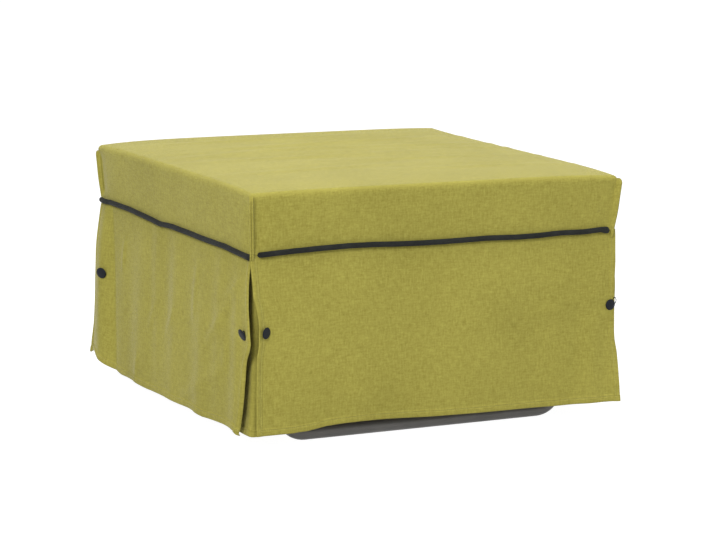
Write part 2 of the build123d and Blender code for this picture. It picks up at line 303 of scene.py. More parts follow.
for section, towards in (("middle", -1), ("end", 1)):
    low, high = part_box(f"{section}_leg")
    pivot_z = (low.z + high.z) / 2
    pivot_y = high.y - eye_radius if towards < 0 else low.y + eye_radius
    arm_x = high.x - eye_width / 2
    reach = high.y - low.y - eye_radius
    leg = bent_leg(f"folding_leg_{section}", arm_x, reach - arm_short_of_pivot, 0.0, fold_radius, fold_bend)
    for corner in leg.data.vertices:
        x, y, z = corner.co
        corner.co = (x, pivot_y + towards * (reach - z), pivot_z + y)
    eyes = [eye(arm_x, pivot_y, pivot_z), eye(-arm_x, pivot_y, pivot_z)]
    select_only(leg, *eyes)
    bpy.ops.object.join()
    close_up(leg, 0.00001)
    smooth(leg, 40)
    paint(powder_coat, leg.name)
    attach(leg, f"{section}_leg")
    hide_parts(f"{section}_leg")

# Slats and their end caps: beech plywood strips, lacquered, in moulded black sleeves.
# The grain runs along each slat, and no two slats have quite the same colour.
beech_dark = (0.64, 0.43, 0.23)
beech_pale = (0.74, 0.54, 0.32)
beech_grain = (0.43, 0.26, 0.12)
beech_pore = (0.34, 0.2, 0.09)
beech, tree, shader = new_finish("beech_slat", roughness=0.42)
place = object_place(tree)
board = noise_value(tree, place, 1.0, 0, 0.5, (0.0, 14.0, 3.0))
grain = noise_value(tree, place, 30, 5, 0.6, (0.6, 14.0, 14.0))
pores = noise_value(tree, place, 220, 2, 0.5, (0.25, 6.0, 6.0))
plain_wood = two_colours(tree, between(tree, board, 0.3, 0.7), beech_dark, beech_pale)
grained = two_colours(tree, between(tree, grain, 0.46, 0.78), plain_wood, beech_grain)
pored = two_colours(tree, between(tree, pores, 0.62, 0.8, 0, 0.6), grained, beech_pore)
feed(tree, shader, {"Base Color": pored, "Roughness": between(tree, grain, 0.3, 0.7, 0.34, 0.5),
                    "Coat Weight": 0.35, "Coat Roughness": 0.3})
raise_surface(tree, shader, grain, 0.15, 0.0004)
paint(beech, "base_slats", "middle_slats", "end_slats")
cap_plastic = coated_finish("moulded_cap", (0.014, 0.014, 0.015), (0.024, 0.024, 0.025), 2200, 0.3, 0.0003)
paint(cap_plastic, "base_slat_caps", "middle_slat_caps", "end_slat_caps")

# Mattress: three foam blocks, each sewn into off-white ticking with a corded edge all round.
# The foam crowns a little in the middle, and its sides pull in between the two corded seams.
ticking_white = (0.66, 0.63, 0.55)
# Painted shade: the colour the ticking takes in the hollows between its yarns.
ticking_painted_shade = (0.52, 0.49, 0.41)
ticking_soil = (0.6, 0.55, 0.44)
foam_inset = np.array((0.002, 0.002, 0.001))
foam_crown = 0.0035
foam_dimple = 0.0009
foam_edge = 0.014
foam_corner = 0.03
cord_radius = 0.003
cord_corner = 0.028
cord_bend_steps = 10
cord_inset = 0.0045
cord_level = 0.010


def weave_group():
    """Plain weave in the cloth's own metres: which yarn lies on top, and how high it stands."""
    tree, given, result = new_group("plain_weave", {"Cloth": None, "Yarn": 0.0012}, ("Warp On Top", "Height"))
    split = add_node(tree, "SeparateXYZ", {0: given["Cloth"]})
    turns = [maths(tree, "DIVIDE", split[axis], given["Yarn"]) for axis in (0, 1)]
    waves = [maths(tree, "SINE", maths(tree, "MULTIPLY", turn, math.pi)) for turn in turns]
    on_top = maths(tree, "GREATER_THAN", maths(tree, "MULTIPLY", *waves), 0.0)
    rounds = [maths(tree, "ABSOLUTE", wave) for wave in waves]
    height = add_node(tree, "Mix", {0: on_top, 2: rounds[1], 3: rounds[0]})[0]
    feed(tree, result, {"Warp On Top": on_top, "Height": height})
    return tree


def cloth_metres(tree):
    """The piece's own UV map, which is in metres of cloth."""
    node = tree.nodes.new("ShaderNodeUVMap")
    node.uv_map = "cloth"
    return node.outputs["UV"]


def set_cloth_map(obj, across, along):
    """Writes the UV map 'cloth' from one value of each kind for every vertex."""
    mesh = obj.data
    while mesh.uv_layers:
        mesh.uv_layers.remove(mesh.uv_layers[0])
    layer = mesh.uv_layers.new(name="cloth")
    corner = np.empty(len(mesh.loops), np.int64)
    mesh.loops.foreach_get("vertex_index", corner)
    layer.data.foreach_set("uv", np.column_stack([across[corner], along[corner]]).ravel().astype(np.float32))


def corners_of(obj):
    co = np.empty(len(obj.data.vertices) * 3, np.float32)
    obj.data.vertices.foreach_get("co", co)
    return co.reshape(-1, 3).astype(float)


def move_corners(obj, co):
    obj.data.vertices.foreach_set("co", np.asarray(co, np.float32).ravel())
    obj.data.update()


def noise_at(x, y, z):
    """Smooth noise at each place."""
    return np.array([noise.noise(Vector(place)) for place in np.column_stack(np.broadcast_arrays(x, y, z))])


def fine_cube(name, cuts, open_below=False):
    """A finely cut cube of size 1, to be shaped by its corners."""
    select_only()
    bpy.ops.mesh.primitive_cube_add(size=1)
    cube = just_added(name)
    if open_below:
        edit(cube, "FACE", lambda face: face.normal.z < -0.5)
        bpy.ops.mesh.delete(type="FACE")
    edit(cube)
    bpy.ops.mesh.subdivide(number_cuts=cuts)
    bpy.ops.object.mode_set(mode="OBJECT")
    return cube


def drawn_to_edges(unit):
    """Crowds places between -1 and 1 towards both ends."""
    return np.sin(unit * 0.42 * math.pi) / math.sin(0.42 * math.pi)


def round_box(obj, low, high, edge, plan_corner):
    """A fine cube's corners laid on a box with soft edges, their cloth coordinates and their shares of it."""
    unit = corners_of(obj) * 2
    half = (np.array(high) - np.array(low)) / 2
    middle = (np.array(high) + np.array(low)) / 2
    spread = drawn_to_edges(unit)
    sharp = spread * half
    plan = half[:2] - plan_corner
    core = np.clip(sharp[:, :2], -plan, plan)
    away = sharp[:, :2] - core
    length = np.linalg.norm(away, axis=1)
    most = np.abs(away).max(axis=1)
    direction = away / np.maximum(length, 1e-9)[:, None]
    from_wall = edge - np.clip(plan_corner - most, 0, edge)
    from_top = edge - np.clip(half[2] - np.abs(sharp[:, 2]), 0, edge)
    reach = np.maximum(np.hypot(from_wall, from_top), 1e-9)
    on_edge = (from_wall > 0) & (from_top > 0)
    share = np.where(on_edge, np.maximum(from_wall, from_top) / reach, 1)
    flat = core + direction * (most - from_wall * (1 - share))[:, None]
    level = sharp[:, 2] - np.sign(sharp[:, 2]) * from_top * (1 - share)
    across = sharp[:, 0] + np.where(np.abs(unit[:, 0]) > 0.999, sharp[:, 2], 0)
    along = sharp[:, 1] + np.where(np.abs(unit[:, 1]) > 0.999, sharp[:, 2], 0)
    return np.column_stack([flat, level]) + middle, across, along, spread


def cloth_grid(name, columns, rows):
    """A grid to be laid out, and its column and row values at every corner."""
    select_only()
    bpy.ops.mesh.primitive_grid_add(x_subdivisions=len(columns) - 1, y_subdivisions=len(rows) - 1, size=1)
    grid = just_added(name)
    unit = corners_of(grid) + np.array([0.5, 0.5, 0])
    across = np.asarray(columns)[np.rint(unit[:, 0] * (len(columns) - 1)).astype(int)]
    along = np.asarray(rows)[np.rint(unit[:, 1] * (len(rows) - 1)).astype(int)]
    return grid, across, along


def edge_cord(name, half_x, half_y, y, z):
    """A sewn cord round the edge of a mattress: a rounded rectangle of tube."""
    path = []
    for sx, sy, start in ((1, 1, 0), (-1, 1, 90), (-1, -1, 180), (1, -1, 270)):
        for step in range(cord_bend_steps + 1):
            a = math.radians(start + 90 * step / cord_bend_steps)
            path.append((sx * (half_x - cord_corner) + cord_corner * math.cos(a),
                         sy * (half_y - cord_corner) + cord_corner * math.sin(a), math.cos(a), math.sin(a)))
    cord, step, around = cloth_grid(name, range(len(path) + 1), np.linspace(0, 1, 9))
    turn = around * 2 * math.pi
    out = cord_radius * np.cos(turn)
    px, py, nx, ny = np.array(path)[step % len(path)].T
    move_corners(cord, np.column_stack([px + nx * out, y + py + ny * out, z + cord_radius * np.sin(turn)]))
    set_cloth_map(cord, step / len(path) * 2.6, around * 0.02)
    close_up(cord)
    smooth(cord, 60)
    return cord


plain_weave = weave_group()
ticking, tree, shader = new_finish("mattress_ticking", roughness=0.85)
weave = add_group(tree, plain_weave, {"Cloth": cloth_metres(tree), "Yarn": 0.0016})
soil = noise_value(tree, object_place(tree), 7, 4, 0.6)
# Painted shade: the ticking is coloured darker where the weave's height is low, between the yarns, and white
# on their crowns.
yarns = two_colours(tree, between(tree, weave["Height"], 0, 1), ticking_painted_shade, ticking_white)
soiled = two_colours(tree, between(tree, soil, 0.4, 0.75, 0, 0.3), yarns, ticking_soil)
feed(tree, shader, {"Base Color": soiled, "Sheen Weight": 0.15})
raise_surface(tree, shader, weave["Height"], 0.35, 0.0005)
for section in ("base", "middle", "end"):
    node = f"{section}_mattress"
    body = section if section == "base" else f"{section}_section"
    low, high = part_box(node)
    foam = fine_cube(f"mattress_{section}", 40)
    shape, across, along, spread = round_box(foam, np.array(low) + foam_inset, np.array(high) - foam_inset,
                                             foam_edge, foam_corner)
    fall = foam_crown * (np.abs(spread[:, 0]) ** 4 + np.abs(spread[:, 1]) ** 4)
    waist = foam_crown * (1 - spread[:, 2] ** 2)
    dimple = noise_at(shape[:, 0] * 9, shape[:, 1] * 9, 3.1) * foam_dimple
    shape[:, 2] -= np.sign(spread[:, 2]) * (fall - dimple) * spread[:, 2] ** 2
    shape[:, 0] -= np.sign(spread[:, 0]) * waist * np.abs(spread[:, 0]) ** 12
    shape[:, 1] -= np.sign(spread[:, 1]) * waist * np.abs(spread[:, 1]) ** 12
    move_corners(foam, shape)
    set_cloth_map(foam, across, along)
    smooth(foam, 60)
    paint(ticking, foam.name)
    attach(foam, body)
    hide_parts(node)
    for label, z in (("low", low.z + cord_level), ("high", high.z - cord_level)):
        cord = edge_cord(f"mattress_{section}_cord_{label}", (high.x - low.x) / 2 - cord_inset,
                         (high.y - low.y) / 2 - cord_inset, (low.y + high.y) / 2, z)
        paint(ticking, cord.name)
        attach(cord, body)

# Cover, top: a stiff pad in lining under one piece of canvas that rolls over the edges, down to the piping.
# The canvas is a heavy lime-green weave with lighter and darker yarns, and it sags a little at its corners.
canvas_dark = (0.205, 0.178, 0.026)
canvas_light = (0.519, 0.468, 0.100)
stitch_thread = (0.46, 0.43, 0.13)
canvas_yarn = 0.0013
stitch_pitch = 0.0042
cover_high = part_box("cover_top_panel")[1]
half_w, half_d, cover_top = cover_high.x, cover_high.y, cover_high.z
seam_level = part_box("cover_band_front")[0].z - 0.0012
side_drop = cover_top - seam_level
cloth_thickness = 0.0024
top_round = 0.0135
top_plan_round = 0.008
seam_plan_round = 0.0035
top_sink = 0.0012
billow_depth = 0.0011
side_sag = {"left": 0.0028, "right": 0.0042, "front": 0.0042, "back": -0.0010}
back_tilt = 0.0013
side_wall_pinch = 0.004
end_wall_pinch = 0.0035
end_corner_pinch = 0.0012
# The tuples below have one value for each corner, in this order.
corners = {"front_left": (-1, -1), "back_left": (-1, 1), "front_right": (1, -1), "back_right": (1, 1)}
corner_sag = (0.0004, 0.0052, 0.0016, -0.0009)
corner_pinch = (0.0015, 0.006, 0.006, 0.006)
dip_depth = (0.0030, 0.0060, 0.0024, 0.0026)
dip_width = (0.016, 0.026, 0.016, 0.016)
dip_start = 0.009
# The piping's rise over its level, by the distance along each wall from its middle, both in millimetres.
piping_wave = {
    "front": ((-366, -4.1), (-340, -2.5), (-290, -0.1), (-240, 1.6), (-190, 2.7), (-140, 2.3), (-90, 0.3),
              (-40, -0.8), (10, -0.9), (100, 0.3), (160, -1.6), (207, -1.1), (257, 1), (307, 0), (345, 2.2),
              (366, -0.5)),
    "left": ((-345, -3), (-260, -1.1), (-200, -0.5), (-140, -2), (-80, -4.4), (-36, -6.5), (20, -3),
             (138, -4.2), (193, -4.2), (247, -3.5), (296, -6), (345, -8)),
    "back": ((-366, 1), (-200, -2), (-50, 2), (120, -1), (250, 2), (366, 0)),
    "right": ((-345, -2), (-150, 2), (0, -1), (160, 1), (345, -1)),
}
# Each wall: the directions along it and out of it, half its length, and its distance from the middle.
faces = {
    "front": ((1, 0), (0, -1), half_w, half_d),
    "left": ((0, -1), (-1, 0), half_d, half_w),
    "back": ((-1, 0), (0, 1), half_w, half_d),
    "right": ((0, 1), (1, 0), half_d, half_w),
}
# Each wrinkle in the top: its middle, half length and half width, its turn in degrees, and its height.
wrinkle_rows = (
    (0.10, 0.20, 0.20, 0.016, 4, 0.0011), (0.05, 0.12, 0.26, 0.013, -3, 0.0010),
    (-0.05, 0.02, 0.22, 0.015, 2, 0.0011), (0.12, -0.06, 0.20, 0.012, -5, 0.0009),
    (-0.14, -0.14, 0.16, 0.014, 6, 0.0009), (0.18, -0.20, 0.15, 0.012, -4, 0.0008),
    (-0.20, 0.10, 0.12, 0.018, 12, 0.0010), (0.25, 0.06, 0.12, 0.012, -9, 0.0009),
    (-0.05, 0.28, 0.20, 0.015, 3, 0.0009))
wrinkle_depth = 3.4


def heather_group():
    """Light and dark yarns: long streaks in warp and weft, slubs, and slow patches of wear."""
    tree, given, result = new_group("heather", {"Cloth": None, "Place": None, "Warp On Top": 0.5},
                                    ("Lightness", "Slub"))
    cloth = given["Cloth"]
    warp = noise_value(tree, cloth, 1.0, 2, 0.6, (620, 55, 1))
    weft = noise_value(tree, cloth, 1.0, 2, 0.6, (55, 620, 1))
    yarn = add_node(tree, "Mix", {0: given["Warp On Top"], 2: weft, 3: warp})[0]
    fleck = noise_value(tree, cloth, 260, 2, 0.6)
    streak_up = noise_value(tree, cloth, 1.0, 2, 0.55, (230, 60, 1))
    streak_across = noise_value(tree, cloth, 1.0, 2, 0.55, (60, 230, 1))
    patch = noise_value(tree, given["Place"], 6.5, 4, 0.6)
    total = maths(tree, "MULTIPLY", between(tree, yarn, 0.25, 0.75), 0.35)
    for value, share in ((fleck, 0.17), (streak_up, 0.18), (streak_across, 0.16), (patch, 0.14)):
        total = maths(tree, "ADD", total, maths(tree, "MULTIPLY", between(tree, value, 0.32, 0.68), share))
    slub = maths(tree, "MULTIPLY", between(tree, fleck, 0.5, 0.8), 0.35)
    feed(tree, result, {"Lightness": total, "Slub": slub})
    return tree


def stitch_group():
    """A row of stitches along one line of the cloth: the threads, and the pucker they pull in."""
    tree, given, result = new_group("stitch_row", {"Across": 0.0, "Along": 0.0, "Line": 0.0},
                                    ("Thread", "Pucker"))
    off = maths(tree, "ABSOLUTE", maths(tree, "SUBTRACT", given["Across"], given["Line"]))
    pitch = maths(tree, "FRACT", maths(tree, "DIVIDE", given["Along"], stitch_pitch))
    dash = between(tree, maths(tree, "ABSOLUTE", maths(tree, "SUBTRACT", pitch, 0.5)), 0.34, 0.4, 1, 0)
    thread = maths(tree, "MULTIPLY", between(tree, off, 0.0003, 0.0007, 1, 0), dash)
    feed(tree, result, {"Thread": thread, "Pucker": between(tree, off, 0.0004, 0.0022, 1, 0)})
    return tree


heather = heather_group()
stitch_row = stitch_group()


def canvas_finish(name, stitch_lines=()):
    """Lime canvas in the cloth's own metres: heathered yarns, weave, and stitches along given lines."""
    finish, tree, shader = new_finish(name, roughness=0.92)
    cloth = cloth_metres(tree)
    weave = add_group(tree, plain_weave, {"Cloth": cloth, "Yarn": canvas_yarn})
    yarns = add_group(tree, heather, {"Cloth": cloth, "Place": object_place(tree),
                                      "Warp On Top": weave["Warp On Top"]})
    colour = two_colours(tree, yarns["Lightness"], canvas_dark, canvas_light)
    height = maths(tree, "MULTIPLY_ADD", weave["Height"], 0.5, yarns["Slub"])
    for axis, at in stitch_lines:
        split = add_node(tree, "SeparateXYZ", {0: cloth})
        row = add_group(tree, stitch_row, {"Across": split[axis], "Along": split[1 - axis], "Line": at})
        colour = two_colours(tree, maths(tree, "MULTIPLY", row["Thread"], 0.55), colour, stitch_thread)
        height = maths(tree, "ADD", height, maths(tree, "MULTIPLY", row["Thread"], 1.4))
        height = maths(tree, "SUBTRACT", height, maths(tree, "MULTIPLY", row["Pucker"], 2.2))
    feed(tree, shader, {"Base Color": colour, "Sheen Weight": 0.30, "Sheen Roughness": 0.32,
                        "Sheen Tint": (1.0, 0.98, 0.86, 1), "Specular IOR Level": 0.2})
    raise_surface(tree, shader, height, 0.45, 0.0006)
    return finish


def step_up(value, low, high):
    """Smooth step of an array between two values."""
    t = np.clip((value - low) / (high - low), 0, 1)
    return t * t * (3 - 2 * t)


def table_value(place, table):
    """Reads a table in millimetres at places in metres. Gives metres."""
    places, values = zip(*table)
    return np.interp(place * 1000, places, values) / 1000


def by_corner(x, y, values):
    """For each place, the value of the corner that it is nearest to."""
    nearest = np.zeros_like(x)
    for (sx, sy), value in zip(corners.values(), values):
        nearest[(np.sign(x) == sx) & (np.sign(y) == sy)] = value
    return nearest


def seam_dip(x, y, distance, height_share):
    """How far a wall is drawn in beside a corner seam: steep next to it, and easing out along the wall."""
    easing = np.exp(-np.clip(distance - dip_start, 0, 1) / by_corner(x, y, dip_width))
    by_height = step_up(height_share, 0.0, 0.2) * (1 - step_up(height_share, 0.70, 0.97))
    return by_corner(x, y, dip_depth) * step_up(distance, 0.0, dip_start) * easing * by_height


def corner_drop(x, y):
    """How far the soft top has sunk at a place: a little at the edges and more at the corners."""
    ex = np.clip(np.abs(x) / half_w, 0, 1)
    ey = np.clip(np.abs(y) / half_d, 0, 1)
    along_side = np.where(x < 0, side_sag["left"], side_sag["right"]) * ex ** 6
    along_end = np.where(y < 0, side_sag["front"], side_sag["back"] - back_tilt * x / half_w) * ey ** 6
    return along_side + along_end + by_corner(x, y, corner_sag) * (ex ** 5) * (ey ** 5)


def pinch(x, y):
    """How far the piping's seam draws in the side walls, and the front and back walls."""
    return (side_wall_pinch + by_corner(x, y, corner_pinch) * np.abs(y / half_d) ** 8,
            end_wall_pinch + end_corner_pinch * np.abs(x / half_w) ** 8)


def wrinkles(x, y):
    """Soft long wrinkles, spread over the top, each with a hollow beside it."""
    rise = np.zeros_like(x)
    for cx, cy, half_length, half_width, turn, high in wrinkle_rows:
        a = math.radians(turn)
        u = ((x - cx) * math.cos(a) + (y - cy) * math.sin(a)) / half_length
        v = ((y - cy) * math.cos(a) - (x - cx) * math.sin(a)) / half_width
        rise += wrinkle_depth * high * np.exp(-u ** 2) * (np.exp(-v ** 2) - 0.6 * np.exp(-(v - 1.7) ** 2))
    return rise


def give_thickness(obj, thickness, towards=-1):
    """Gives cloth its thickness, on the inner side of its faces, or the outer side at 1."""
    select_only(obj)
    wall = obj.modifiers.new("cloth", "SOLIDIFY")
    wall.thickness = thickness
    wall.offset = towards
    wall.use_even_offset = False
    bpy.ops.object.modifier_apply(modifier=wall.name)


canvas = canvas_finish("lime_canvas")
top = fine_cube("cover_top", 74, open_below=True)
unit = corners_of(top) * 2
spread = drawn_to_edges(unit[:, :2])
height_share = (unit[:, 2] + 1) / 2
sharp = np.column_stack([spread * (half_w, half_d), seam_level + height_share * side_drop])
plan_round = top_plan_round - seam_plan_round
plan_round = seam_plan_round + plan_round * step_up(sharp[:, 2], cover_top - 0.030, cover_top - 0.008)
core = np.column_stack([
    np.clip(sharp[:, 0], plan_round - half_w, half_w - plan_round),
    np.clip(sharp[:, 1], plan_round - half_d, half_d - plan_round),
    np.minimum(sharp[:, 2], cover_top - top_round)])
radii = np.column_stack([plan_round, plan_round, np.full(len(sharp), top_round)])
away = (sharp - core) / radii
shape = core + radii * away / np.maximum(np.linalg.norm(away, axis=1), 1e-9)[:, None]
shape[:, 2] -= corner_drop(shape[:, 0], shape[:, 1]) * height_share
on_top = step_up(shape[:, 2], cover_top - 0.02, cover_top - 0.004)
shape[:, 2] += (wrinkles(shape[:, 0], shape[:, 1]) - top_sink) * on_top
x, y, z = sharp.T
billow = noise_at(x * 5.5, y * 5.5, z * 9) + 0.5 * noise_at(x * 16, y * 16, z * 13 + 7)
billow *= billow_depth * (1 - on_top)
is_wall = np.abs(unit[:, :2]) > 0.999
for axis, other, half in ((0, 1, half_d), (1, 0, half_w)):
    draw_in = pinch(x, y)[axis] * (1 - height_share) - billow * (1 - np.abs(spread[:, other]) ** 20)
    draw_in *= np.abs(spread[:, axis]) > 0.9
    draw_in += is_wall[:, axis] * seam_dip(x, y, half - np.abs(sharp[:, other]), height_share)
    shape[:, axis] -= np.sign(shape[:, axis]) * draw_in
rim = np.zeros(len(sharp))
for face in ("front", "back", "left", "right"):
    (ax, ay), (ox, oy) = faces[face][:2]
    here = ox * unit[:, 0] + oy * unit[:, 1] > 0.999
    rim[here] = table_value(ax * x + ay * y, piping_wave[face])[here]
shape[:, 2] += rim * (1 - height_share) ** 2
move_corners(top, shape)
set_cloth_map(top, np.where(is_wall[:, 0], y, x), np.where(is_wall.any(axis=1), z, y))
give_thickness(top, cloth_thickness)
smooth(top, 50)
paint(canvas, top.name)
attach(top, "cover")
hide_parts("cover_top_panel", *(f"cover_band_{face}" for face in faces))

lining, tree, shader = new_finish("pad_lining", roughness=0.8)
place = object_place(tree)
soil = noise_value(tree, place, 11, 4, 0.6)
threads = noise_value(tree, place, 500, 2, 0.6)
feed(tree, shader, {"Base Color": two_colours(tree, between(tree, soil, 0.3, 0.7), (0.58, 0.56, 0.5),
                                              (0.5, 0.48, 0.41))})
raise_surface(tree, shader, threads, 0.4, 0.0004)
low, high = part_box("cover_top_pad")
pad = fine_cube("cover_pad", 34)
shape, across, along, spread = round_box(pad, np.array(low) + (0.0055, 0.0045, 0.0),
                                         np.array(high) - (0.0055, 0.0045, 0.002), 0.009, 0.02)
edge_fall = 0.003 * np.abs(spread[:, :2]).max(axis=1) ** 16
shape[:, 2] -= (corner_drop(shape[:, 0], shape[:, 1]) + edge_fall) * (spread[:, 2] + 1) / 2
move_corners(pad, shape)
set_cloth_map(pad, across, along)
smooth(pad, 60)
paint(lining, pad.name)
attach(pad, "cover")
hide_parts("cover_top_pad")

# Cover, corner seams: the canvas of two walls pinched together and sewn into a standing double ridge.
# It runs from the soft top edge to just below the piping, with a fine dark line between its two layers.
# Each seam: its reach at the top and at the piping, its start below the top, its turn from the diagonal.
seam_tips = {"front_left": (0.0062, 0.0058, 0.0050, 20), "front_right": (0.0086, 0.0062, 0.0050, 0),
             "back_left": (0.0044, 0.0020, 0.0120, 0), "back_right": (0.0064, 0.0030, 0.0060, 0)}
seam_low = seam_level - 0.016
seam_root = 0.0012
# One side of its section: metres behind the root or shares of the reach, and half its thickness.
seam_side = ((-0.0050, -0.0026), (-0.0020, -0.0028), (0.0010, -0.0032), (0.30, -0.0036), (0.62, -0.0037),
             (0.84, -0.0034), (0.96, -0.0027), (1.00, -0.0019), (0.94, -0.0011), (0.82, -0.0005),
             (0.66, -0.0001))
seam_profile = np.array(seam_side + tuple((reach, -half) for reach, half in reversed(seam_side)))
seam_sway = 0.0010
for name, (tip_high, tip_low, start_below, turn_on) in seam_tips.items():
    sx, sy = corners[name]
    seam_high = cover_top - start_below
    fin, column, share = cloth_grid(f"cover_corner_seam_{name}", range(len(seam_profile)),
                                    np.linspace(0, 1, 61))
    z = seam_low + share * (seam_high - seam_low)
    height_share = (z - seam_level) / side_drop
    tip = tip_low + (tip_high - tip_low) * step_up(z, seam_level - 0.01, seam_level + 0.05)
    tip *= np.sqrt(1 - ((z - (seam_high - 0.012)) / 0.0125).clip(0, 1) ** 2)
    tip *= step_up(z, seam_low - 0.002, seam_low + 0.006)
    reach, half = seam_profile[column].T
    out = np.where(reach > 0.01, reach * tip, reach)
    aside = half * (0.75 + 0.25 * step_up(tip, 0.0, 0.004))
    aside += noise_at(sx * 3.0, sy * 5.0, z * 22) * seam_sway
    x, y = np.full_like(z, sx * half_w), np.full_like(z, sy * half_d)
    pinch_x, pinch_y = (amount * (1 - height_share).clip(0, 1) for amount in pinch(x, y))
    lie = math.radians(45 + turn_on)
    dx, dy = sx * math.cos(lie), sy * math.sin(lie)
    move_corners(fin, np.column_stack([x - sx * (pinch_x + seam_root) + dx * out - dy * aside,
                                       y - sy * (pinch_y + seam_root) + dy * out + dx * aside,
                                       z - corner_drop(x, y) * height_share.clip(0, 1)]))
    set_cloth_map(fin, column / (len(seam_profile) - 1) * 0.03, z)
    close_up(fin)
    smooth(fin, 60)
    paint(canvas, fin.name)
    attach(fin, "cover")
    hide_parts(f"cover_seam_{name}")

# Cover, skirts: four panels sewn under the piping, with a narrow turned hem at the sides and the bottom.
# The front hangs nearly flat. The sides fall in soft folds, and all flare a little at the hem and open flaps.
hem_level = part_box("cover_skirt_front")[0].z
skirt_top = seam_level + 0.0015
drop = skirt_top - hem_level
hem_strip = 0.0105
bottom_hem = 0.012
stitch_inset = 0.0012
turned_edge = 0.0024
turned_strip = 0.013
hem_thickness = 0.0014
stitch_dip = 0.0007
top_tuck = 0.0014
slow_waves = 0.0024
fine_waves = 0.0011
# Tables in millimetres. The hem's rise over its level, by the distance along the wall from its middle.
hem_height = {
    "front": ((-382, 0), (-298, 0), (-262, 1.5), (-227, 7), (-191, 9), (-154, 9.8), (-118, 9), (-12, 5),
              (180, 2), (250, 0.8), (382, 1.5)),
    "left": ((-375, 12), (-360, 17.5), (-347, 20), (-330, 18.5), (-305, 9.5), (-285, 3.7), (-260, -2.2),
             (-226, -5.5), (-157, -3.6), (-88, -5.9), (-10, -3.5), (60, -3), (130, -0.4), (176, -2),
             (224, 0.5), (254, 1.8), (296, 2), (308, 1.2), (318, -4), (325, -6), (357, -6.5)),
    "back": ((-382, -1), (-200, 4), (-50, 1), (100, 6), (250, 3), (382, -1)),
    "right": ((-357, 1), (-200, 3), (0, -2), (160, 4), (357, -1)),
}
# How far each flap's edge stands back from the corner, by its height.
gap_wide = ((20, 16), (68, 14.7), (120, 14.7), (149, 15.1), (174, 16.3), (191, 19.3), (224, 19.3),
            (241, 17.3), (262, 13.8), (278, 9), (303, 7.2), (320, 5.5), (340, 3.7))
gap_side = ((20, 36), (30, 35.1), (66, 26), (95, 22.5), (120, 21.2), (150, 18.6), (166, 15.1), (183, 4.6),
            (196, -0.6), (206, 1.4), (237, 4.2), (278, 8.2), (302, 10.6), (320, 10.5), (357, 7))
gap_shut = ((20, 6), (120, 3), (210, 1.6), (260, 2), (300, 5.5), (357, 10.5))
gap_front_right = ((20, -11), (59, -9), (98, -7.5), (125, -5.5), (150, -1), (215, 0), (250, 0.8), (265, 1),
                   (297, -0.3), (325, 0.2), (357, 0.9))
gap_back_left = ((20, -20), (54, -14), (98, -2), (150, 6), (300, 6), (357, 9))
flap_gaps = {"front": (gap_wide, gap_front_right), "left": (gap_back_left, gap_side),
             "back": (gap_wide, gap_shut), "right": (gap_shut, gap_wide)}
# How far each flap's edge turns in or out, by its height.
turn_out = ((20, 0), (60, 2.2), (150, 3), (240, 2.4), (270, 0))
turn_in = ((20, -5.5), (74, -5), (130, -4.2), (170, -2.4), (210, -1.4), (260, 0))
turn_back = ((20, 0), (60, -1), (110, -3.6), (160, -2.6), (260, -2), (330, 0))
turn_none = ((20, 0), (300, 0))
edge_turns = {"front": (turn_out, turn_none), "left": (turn_back, turn_in),
              "back": (turn_out, turn_none), "right": (turn_none, turn_out)}
# Each fold: its place along the wall, its width to the left and right, its height at the top, middle and hem.
folds = {
    "front": ((-300, 30, 50, 0, 0.6, 1.6), (-170, 60, 50, 0.2, 1, 2.2), (60, 80, 70, 0.3, 1, 1.2),
              (220, 60, 50, 0, -1, -1.6), (335, 20, 20, 0, 1, 3)),
    "left": ((-130, 30, 40, 0.8, 1.8, 1.4), (-50, 16, 24, 1, 1.4, 0.2), (30, 24, 30, 1, 2.2, 0.8),
             (150, 26, 36, 0.4, 1.6, 2.6), (235, 18, 22, 1, 1.4, 0.4), (300, 18, 12, 0.2, 1.2, 0.8)),
    "back": ((-270, 20, 30, 0.6, 2, 3), (-150, 30, 20, 0.8, 1.4, 2), (-30, 20, 20, 1, 2, 1.4),
             (90, 30, 30, 0.4, 1.4, 3), (200, 15, 20, 1, 2, 1.4), (290, 20, 15, 0.4, 2, 3)),
    "right": ((-250, 20, 16, 1, 2, 2), (-140, 20, 30, 0.6, 2, 3.2), (-30, 16, 16, 1, 2, 1.2),
              (80, 20, 20, 0.6, 1.6, 2.6), (170, 16, 14, 1, 2, 1.2), (270, 20, 20, 0.4, 2, 2.6)),
}
# Each slack crease: its start and its end, along the wall and in height, then its width and its height.
creases = {
    "front": ((-335, 255, -220, 215, 13, 0.9), (345, 235, 200, 200, 16, 1), (-300, 150, -150, 60, 20, 0.8)),
    "left": ((-215, 290, -222, 235, 8, 1.4), (320, 306, 254, 262, 10, 1.5), (272, 253, 186, 172, 12, 1.7),
             (257, 185, 258, 130, 12, 1.3), (252, 130, 76, 46, 14, 1.5), (34, 198, -4, 152, 10, 1.2),
             (-63, 192, -87, 146, 10, 1.2), (-138, 82, -147, 32, 10, 1.2), (135, 300, 120, 200, 12, 1.2)),
    "back": ((310, 290, 200, 210, 12, 1.4), (-300, 250, -180, 160, 14, 1.4)),
    "right": ((300, 280, 190, 200, 12, 1.4), (-300, 250, -210, 170, 12, 1.2)),
}
